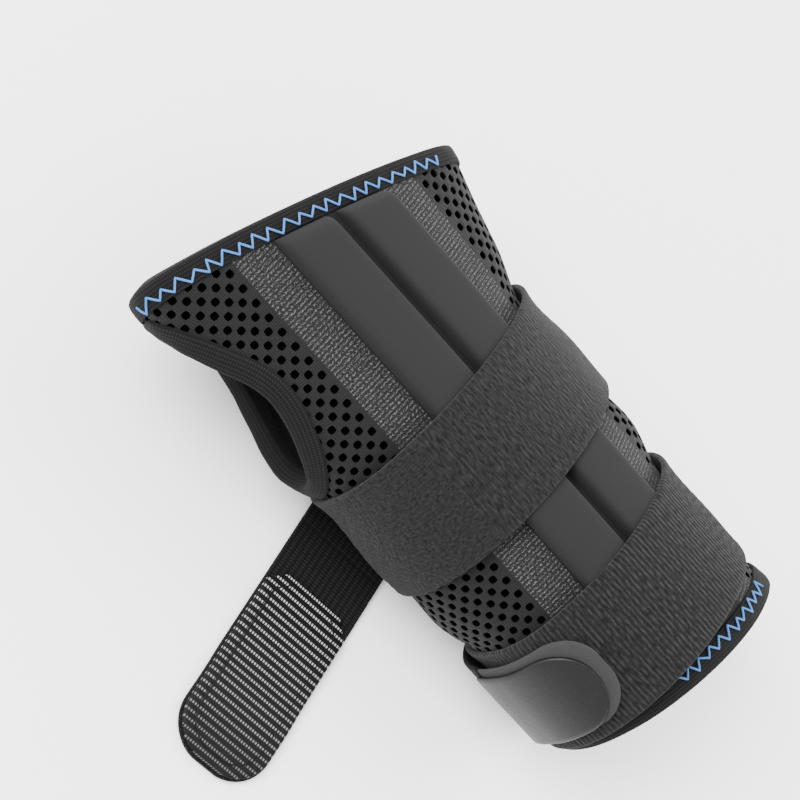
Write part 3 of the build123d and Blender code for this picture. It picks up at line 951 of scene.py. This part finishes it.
def oval_path(half, rise, drop, first, last, steps, y):
    """Points round the arm: 0 at the far side, 90 under the palm, 180 at the thumb."""
    points = []
    for angle in np.radians(np.linspace(first, last, steps + 1)):
        c, s = math.cos(angle), math.sin(angle)
        if angle <= math.pi:
            across = half * math.copysign(abs(c) ** (2 / SQUARENESS), c)
            down = -drop * s ** (2 / SQUARENESS)
        else:
            across, down = half * c, -rise * s
        points.append((across, y, 33.5 + down))
    return np.array(points)


ALONG_ARM = (0.0, 1.0, 0.0)
STRAP_HALF = 15.5
WRIST_Y, FOREARM_Y = -2.6, -64.5

# %% [markdown]
# The wrist strap comes from the far side, passes under the palm, and lies out loose on the
# table beyond the thumb side, hooks up. It bends at three places, so it is made as a fixed
# stretch and three loose ones.

# %% Wrist strap
anchor_path = oval_path(45.35, 0, 32.8, 15, 90, 44, WRIST_Y)
flat_run = np.array([(x, WRIST_Y, 0.7) for x in np.linspace(-1.5, -3.0, 3)])
anchor, anchor_run = ribbon(np.concatenate([anchor_path, flat_run]), ALONG_ARM, STRAP_HALF, 1.4,
                            "wrist_strap_fixed", outward=-1)
finish_piece(anchor, "webbing", "brace", ["wrist_strap_anchor"])

ROOT = np.array([-22.0, WRIST_Y, 0.0])
SLANT = math.radians(180 + 5.9)
OUT_ALONG = np.array([math.cos(SLANT), math.sin(SLANT), 0.0])
OUT_ACROSS = np.array([-math.sin(SLANT), math.cos(SLANT), 0.0])


def strap_point(t, w=0.0, z=0.0):
    return ROOT + OUT_ALONG * t + OUT_ACROSS * w + np.array([0, 0, z])


def strap_bend(a, b, start, end, height=1.5):
    """Two body names and two points on the strap's middle line, at two distances along it."""
    ends = [Vector(strap_point(t, 0, height) * MM) for t in (start, end)]
    return a, b, ends[0], ends[1]


def rounded_half(t, last, half, radius):
    """Half width near a rounded end."""
    into = np.clip(t - (last - radius), 0, radius)
    return half - radius + np.sqrt(np.maximum(radius ** 2 - into ** 2, 0.0))


def table_lift(t):
    """Webbing never lies quite flat."""
    t = np.asarray(t, float)
    fades = np.clip((t - 60) / 8, 0, 1), np.clip((92 - t) / 20, 0, 1)
    return 0.3 * fades[0] * (1 - np.cos(t * 0.145)) * fades[1]


def loose_stretch(name, first, last, node, bend, rounded=False):
    t = np.linspace(first, last, 24)
    half = np.full(len(t), STRAP_HALF)
    if rounded:
        t = np.concatenate([np.linspace(first, last - 13, 20), last - 12.5 * (1 - np.sin(
            np.linspace(0.02, math.pi / 2 - 0.1, 16)))])
        half = rounded_half(t, last, STRAP_HALF, 12.5)
    path = np.array([strap_point(x, 0, 0.72 + table_lift(x)) for x in t])
    piece, run = ribbon(path, OUT_ACROSS, half, 1.4, name, run_start=first)
    finish_piece(piece, "webbing", bend, [node])


loose_stretch("wrist_strap_near", -19.0, 15.0, "wrist_strap_root",
              strap_bend("brace", "strap_root", -4, 6))
loose_stretch("wrist_strap_mid", 15.0, 45.0, "wrist_strap_middle",
              strap_bend("strap_root", "strap_middle", 24, 36))
loose_stretch("wrist_strap_tip", 45.0, 90.0, "wrist_strap_end",
              strap_bend("strap_middle", "strap_end", 52, 64, 2.7), rounded=True)


# %% [markdown]
# The hook pad is sewn on top of the last two stretches, with clipped corners towards the arm and
# a rounded end, and a line of stitches set in from its border.

# %% Hook pad of the wrist strap
PAD_START, PAD_END = 31, 89.3


def tip_bend():
    return strap_bend("strap_middle", "strap_end", 52, 64, 2.7)


def pad_half(t):
    clip = np.clip(10.0 + (t - PAD_START), 10.0, 15.0)
    return np.minimum(clip, rounded_half(t, PAD_END, 15.0, 12.0))


pad_t = np.concatenate([np.linspace(PAD_START, 36, 6), np.linspace(38.5, 77, 20),
                        PAD_END - 12.0 * (1 - np.sin(np.linspace(0.05, math.pi / 2 - 0.12, 16)))])
pad_path = np.array([strap_point(x, 0, 2.05 + table_lift(x)) for x in pad_t])
hook_pad, pad_run = ribbon(pad_path, OUT_ACROSS, pad_half(pad_t), 1.2, "wrist_hook_pad",
                           run_start=PAD_START)
finish_piece(hook_pad, "hook", tip_bend(),
             ["wrist_hook_pad_middle", "wrist_hook_pad_end"])

inset_t = np.concatenate([np.linspace(33, 38, 5), np.linspace(41, 76, 16),
                          86 - 9.5 * (1 - np.sin(np.linspace(0.1, math.pi / 2 - 0.15, 9)))])
inset_half = np.minimum(pad_half(inset_t - 1.2) - 3.4, rounded_half(inset_t, 86.0, 11.6, 9.5))
border_side = list(zip(inset_t, inset_half))
loop_path = [strap_point(x, w, 2.72 + float(table_lift(x))) for x, w in border_side]
loop_path += [strap_point(x, -w, 2.72 + float(table_lift(x))) for x, w in reversed(border_side)]
border = thread("wrist_pad_stitch", np.array(loop_path) * MM, 0.22, sides=5, closed=True)
finish_piece(border, "black", tip_bend())

# %% [markdown]
# The forearm strap passes under the arm and comes up on the thumb side, where it ends in a
# smooth tab with a hook face. The tab peels.

# %% Forearm strap and its tab
FOREARM_HALF, BACK_RISE, FOREARM_DROP = 42.3, 32.8, 32.8
HINGE = Vector((-44.5, FOREARM_Y, 24.2)) * MM


def tab_bend(reach):
    step = Vector((0, 0, reach * MM))
    return "brace", "forearm_tab", HINGE - step, HINGE + step


strap_path = oval_path(FOREARM_HALF + 0.7, 0, FOREARM_DROP, 15, 168, 96, FOREARM_Y)
forearm_strap, forearm_run = ribbon(strap_path, ALONG_ARM, STRAP_HALF, 1.4, "forearm_strap_web",
                                    outward=-1)
finish_piece(forearm_strap, "webbing", "brace", ["forearm_strap"])


def tab_ribbon(name, inner, thickness, first, last, half, radius, finish, node, y=0.0):
    middle = inner + thickness / 2
    path = oval_path(FOREARM_HALF + middle, BACK_RISE + middle, FOREARM_DROP, first, last, 90,
                     FOREARM_Y + y)
    run = run_along(path)
    at = np.concatenate([np.linspace(0, run[-1] - radius, 30), run[-1] - radius + radius * np.sin(
        np.linspace(0.1, math.pi / 2 - 0.06, 16))])
    path = np.stack([np.interp(at, run, path[:, k]) for k in range(3)], axis=1)
    halves = rounded_half(at, run[-1], half, radius)
    piece, length = ribbon(path, ALONG_ARM, halves, thickness, name, outward=-1)
    finish_piece(piece, finish, tab_bend(2.5), [node])


tab_ribbon("forearm_hook_lip", 0.05, 1.15, 168.3, 227, 14.7, 12.0, "felt",
           "forearm_hook_pad")
tab_ribbon("forearm_tab_cover", 1.25, 1.45, 165.0, 221.5, 13.4, 12.5, "leather",
           "forearm_tab", y=-0.9)

# %% [markdown]
# ## Bar tacks
# Both straps are sewn to the tube at the far side with two dense rows of zigzag.

# %% Bar tacks
tacks = []
for path, rows in ((anchor_path, (3, 9)), (strap_path, (4, 11))):
    for first in rows:
        a, b = path[first], path[first + 1]
        ahead = (b - a) / np.linalg.norm(b - a)
        out = np.array([-ahead[2], 0, ahead[0]])
        out = out if out[0] > 0 else -out
        points = [a + out * 1.05 + ahead * (0.65 if k % 2 else -0.65) + np.array([0, y, 0])
                  for k, y in enumerate(np.linspace(-13, 13, 66))]
        tacks.append(thread(f"tack_{len(tacks)}", np.array(points) * MM, 0.26, sides=5))
bpy.ops.object.select_all(action="DESELECT")
for tack in tacks:
    tack.select_set(True)
bpy.context.view_layer.objects.active = tacks[0]
bpy.ops.object.join()
tacks[0].name = "bar_tacks"
finish_piece(tacks[0], "black", "brace", ["strap_bartacks"])

# %% [markdown]
# ## Floor, light and camera
# A pale floor and large soft lights, with the camera high on the thumb side and turned, so the
# fingers' end is up to the left.

# %% Stage and camera
bpy.ops.object.select_all(action="DESELECT")
bpy.ops.mesh.primitive_plane_add(size=6, location=(0, 0, -0.0006))
floor = bpy.context.object
floor.name = "floor"
paper = bpy.data.materials.new("paper")
paper.use_nodes = True
paper_shader = paper.node_tree.nodes["Principled BSDF"]
paper_shader.inputs["Base Color"].default_value = (0.92, 0.92, 0.92, 1)
paper_shader.inputs["Roughness"].default_value = 0.9
floor.data.materials.append(paper)

world = bpy.data.worlds.new("studio")
bpy.context.scene.world = world
world.use_nodes = True
world.node_tree.nodes["Background"].inputs["Color"].default_value = (1, 1, 1, 1)
world.node_tree.nodes["Background"].inputs["Strength"].default_value = 2.2


def soft_light(name, location, target, size, power):
    bpy.ops.object.light_add(type="AREA", location=location)
    lamp = bpy.context.object
    lamp.name = name
    lamp.data.size = size
    lamp.data.energy = power
    aim = Vector(target) - Vector(location)
    lamp.rotation_euler = aim.to_track_quat("-Z", "Y").to_euler()


soft_light("key", (-0.35, 0.9, 1.1), (0, 0, 0.03), 0.9, 60)
soft_light("fill", (0.9, -0.5, 0.9), (0, 0, 0.03), 1.0, 24)

eye, target = Vector((-335.1, 188.5, 590.8)) * MM, Vector((-10.5, 22.6, 39.0)) * MM
forward = (target - eye).normalized()
level = forward.cross(Vector((0, 1, 0))).normalized()
upright = level.cross(forward)
roll = math.radians(-42.221)
right = level * math.cos(roll) + upright * math.sin(roll)
up = -level * math.sin(roll) + upright * math.cos(roll)
bpy.ops.object.camera_add()
camera = bpy.context.object
camera.matrix_world = Matrix((
    (right.x, up.x, -forward.x, eye.x), (right.y, up.y, -forward.y, eye.y),
    (right.z, up.z, -forward.z, eye.z), (0, 0, 0, 1),
))
camera.data.lens = 108
camera.data.sensor_width = 36
bpy.context.scene.camera = camera
